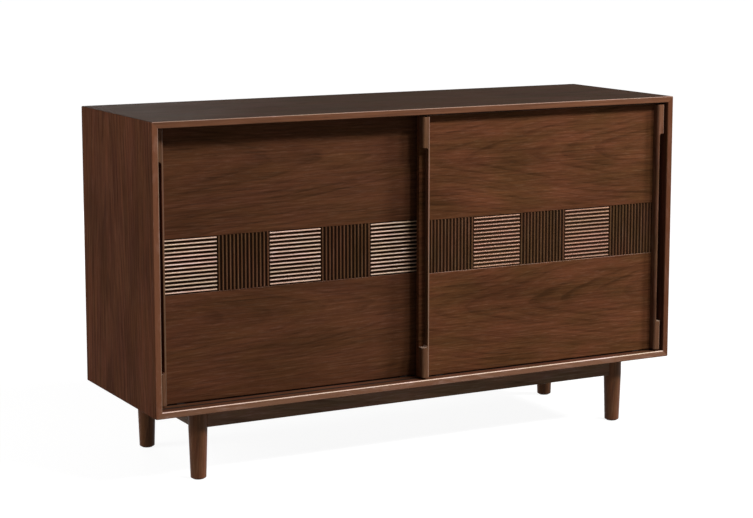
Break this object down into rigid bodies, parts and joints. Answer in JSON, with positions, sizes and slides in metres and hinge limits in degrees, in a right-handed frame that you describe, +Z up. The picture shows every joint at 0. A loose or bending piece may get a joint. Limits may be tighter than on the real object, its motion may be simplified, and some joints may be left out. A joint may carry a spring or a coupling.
{
  "type": "sliding door cabinet",
  "caption": "Low wooden cabinet on a base with tapered round legs, closed by sliding doors that pass each other, with fluted bands and finger-notched edge grips.",
  "frame": {"origin": "on the floor under the middle of the case", "axes": "+X to the right along the width, +Y to the back, +Z up; the doors face -Y"},
  "size_m": [1.4, 0.443, 0.83],
  "materials": {
    "case_walnut": "semi-matt lacquered walnut veneer",
    "interior_walnut": "matt walnut veneer",
    "back_board": "matt veneered board",
    "plywood": "bare plywood",
    "track_plastic": "satin",
    "buffer_rubber": "matt",
    "glide_felt": "matt felt",
    "base_walnut": "semi-matt lacquered solid walnut",
    "door_walnut": "semi-matt lacquered walnut veneer",
    "grip_walnut": "semi-matt lacquered solid walnut",
    "band_walnut": "semi-matt lacquered solid walnut",
    "housing_plastic": "satin",
    "axle_steel": "bright",
    "guide_nylon": "satin",
    "roller_nylon": "satin"
  },
  "bodies": {
    "case": {"top_panel": "case_walnut", "bottom_panel": "case_walnut", "left_side_panel": "case_walnut", "right_side_panel": "case_walnut", "back_panel": "back_board", "mitre_tongues": "plywood", "centre_divider": "interior_walnut", "left_shelf": "interior_walnut", "right_shelf": "interior_walnut", "shelf_cleats": "interior_walnut", "front_bottom_track": "track_plastic", "rear_bottom_track": "track_plastic", "front_top_track": "track_plastic", "rear_top_track": "track_plastic", "door_buffers": "buffer_rubber", "front_legs": "base_walnut", "rear_legs": "base_walnut", "foot_glides": "glide_felt", "front_apron": "base_walnut", "rear_apron": "base_walnut", "left_apron": "base_walnut", "right_apron": "base_walnut", "corner_braces": "base_walnut"},
    "left_door": {"left_door_panel": "door_walnut", "left_door_left_grip": "grip_walnut", "left_door_right_grip": "grip_walnut", "left_door_roller_housings": "housing_plastic", "left_door_axles": "axle_steel", "left_door_top_guides": "guide_nylon", "left_door_fluted_tile_1": "band_walnut", "left_door_fluted_tile_2": "band_walnut", "left_door_fluted_tile_3": "band_walnut", "left_door_fluted_tile_4": "band_walnut", "left_door_fluted_tile_5": "band_walnut"},
    "right_door": {"right_door_panel": "door_walnut", "right_door_left_grip": "grip_walnut", "right_door_right_grip": "grip_walnut", "right_door_roller_housings": "housing_plastic", "right_door_axles": "axle_steel", "right_door_top_guides": "guide_nylon", "right_door_fluted_tile_1": "band_walnut", "right_door_fluted_tile_2": "band_walnut", "right_door_fluted_tile_3": "band_walnut", "right_door_fluted_tile_4": "band_walnut", "right_door_fluted_tile_5": "band_walnut"},
    "left_door_left_roller_body": {"left_door_left_roller": "roller_nylon"},
    "left_door_right_roller_body": {"left_door_right_roller": "roller_nylon"},
    "right_door_left_roller_body": {"right_door_left_roller": "roller_nylon"},
    "right_door_right_roller_body": {"right_door_right_roller": "roller_nylon"}
  },
  "joints": [
    {"name": "left_door_slide", "type": "slide", "parent": "case", "child": "left_door", "axis": [1, 0, 0], "range_m": [0, 0.6595]},
    {"name": "right_door_slide", "type": "slide", "parent": "case", "child": "right_door", "axis": [1, 0, 0], "range_m": [-0.6595, 0]},
    {"name": "left_door_left_roller_spin", "type": "hinge", "parent": "left_door", "child": "left_door_left_roller_body", "pos_m": [-0.618, -0.166, 0.1888], "axis": [0, 1, 0], "range_deg": [-5, 3445]},
    {"name": "left_door_right_roller_spin", "type": "hinge", "parent": "left_door", "child": "left_door_right_roller_body", "pos_m": [-0.0415, -0.166, 0.1888], "axis": [0, 1, 0], "range_deg": [-5, 3445]},
    {"name": "right_door_left_roller_spin", "type": "hinge", "parent": "right_door", "child": "right_door_left_roller_body", "pos_m": [0.0415, -0.1935, 0.1888], "axis": [0, 1, 0], "range_deg": [-3445, 5]},
    {"name": "right_door_right_roller_spin", "type": "hinge", "parent": "right_door", "child": "right_door_right_roller_body", "pos_m": [0.618, -0.1935, 0.1888], "axis": [0, 1, 0], "range_deg": [-3445, 5]}
  ],
  "couplings": [
    {"joint": "left_door_left_roller_spin", "follows": "left_door_slide", "rad_per_m": 90.909},
    {"joint": "left_door_right_roller_spin", "follows": "left_door_slide", "rad_per_m": 90.909},
    {"joint": "right_door_left_roller_spin", "follows": "right_door_slide", "rad_per_m": 90.909},
    {"joint": "right_door_right_roller_spin", "follows": "right_door_slide", "rad_per_m": 90.909}
  ]
}
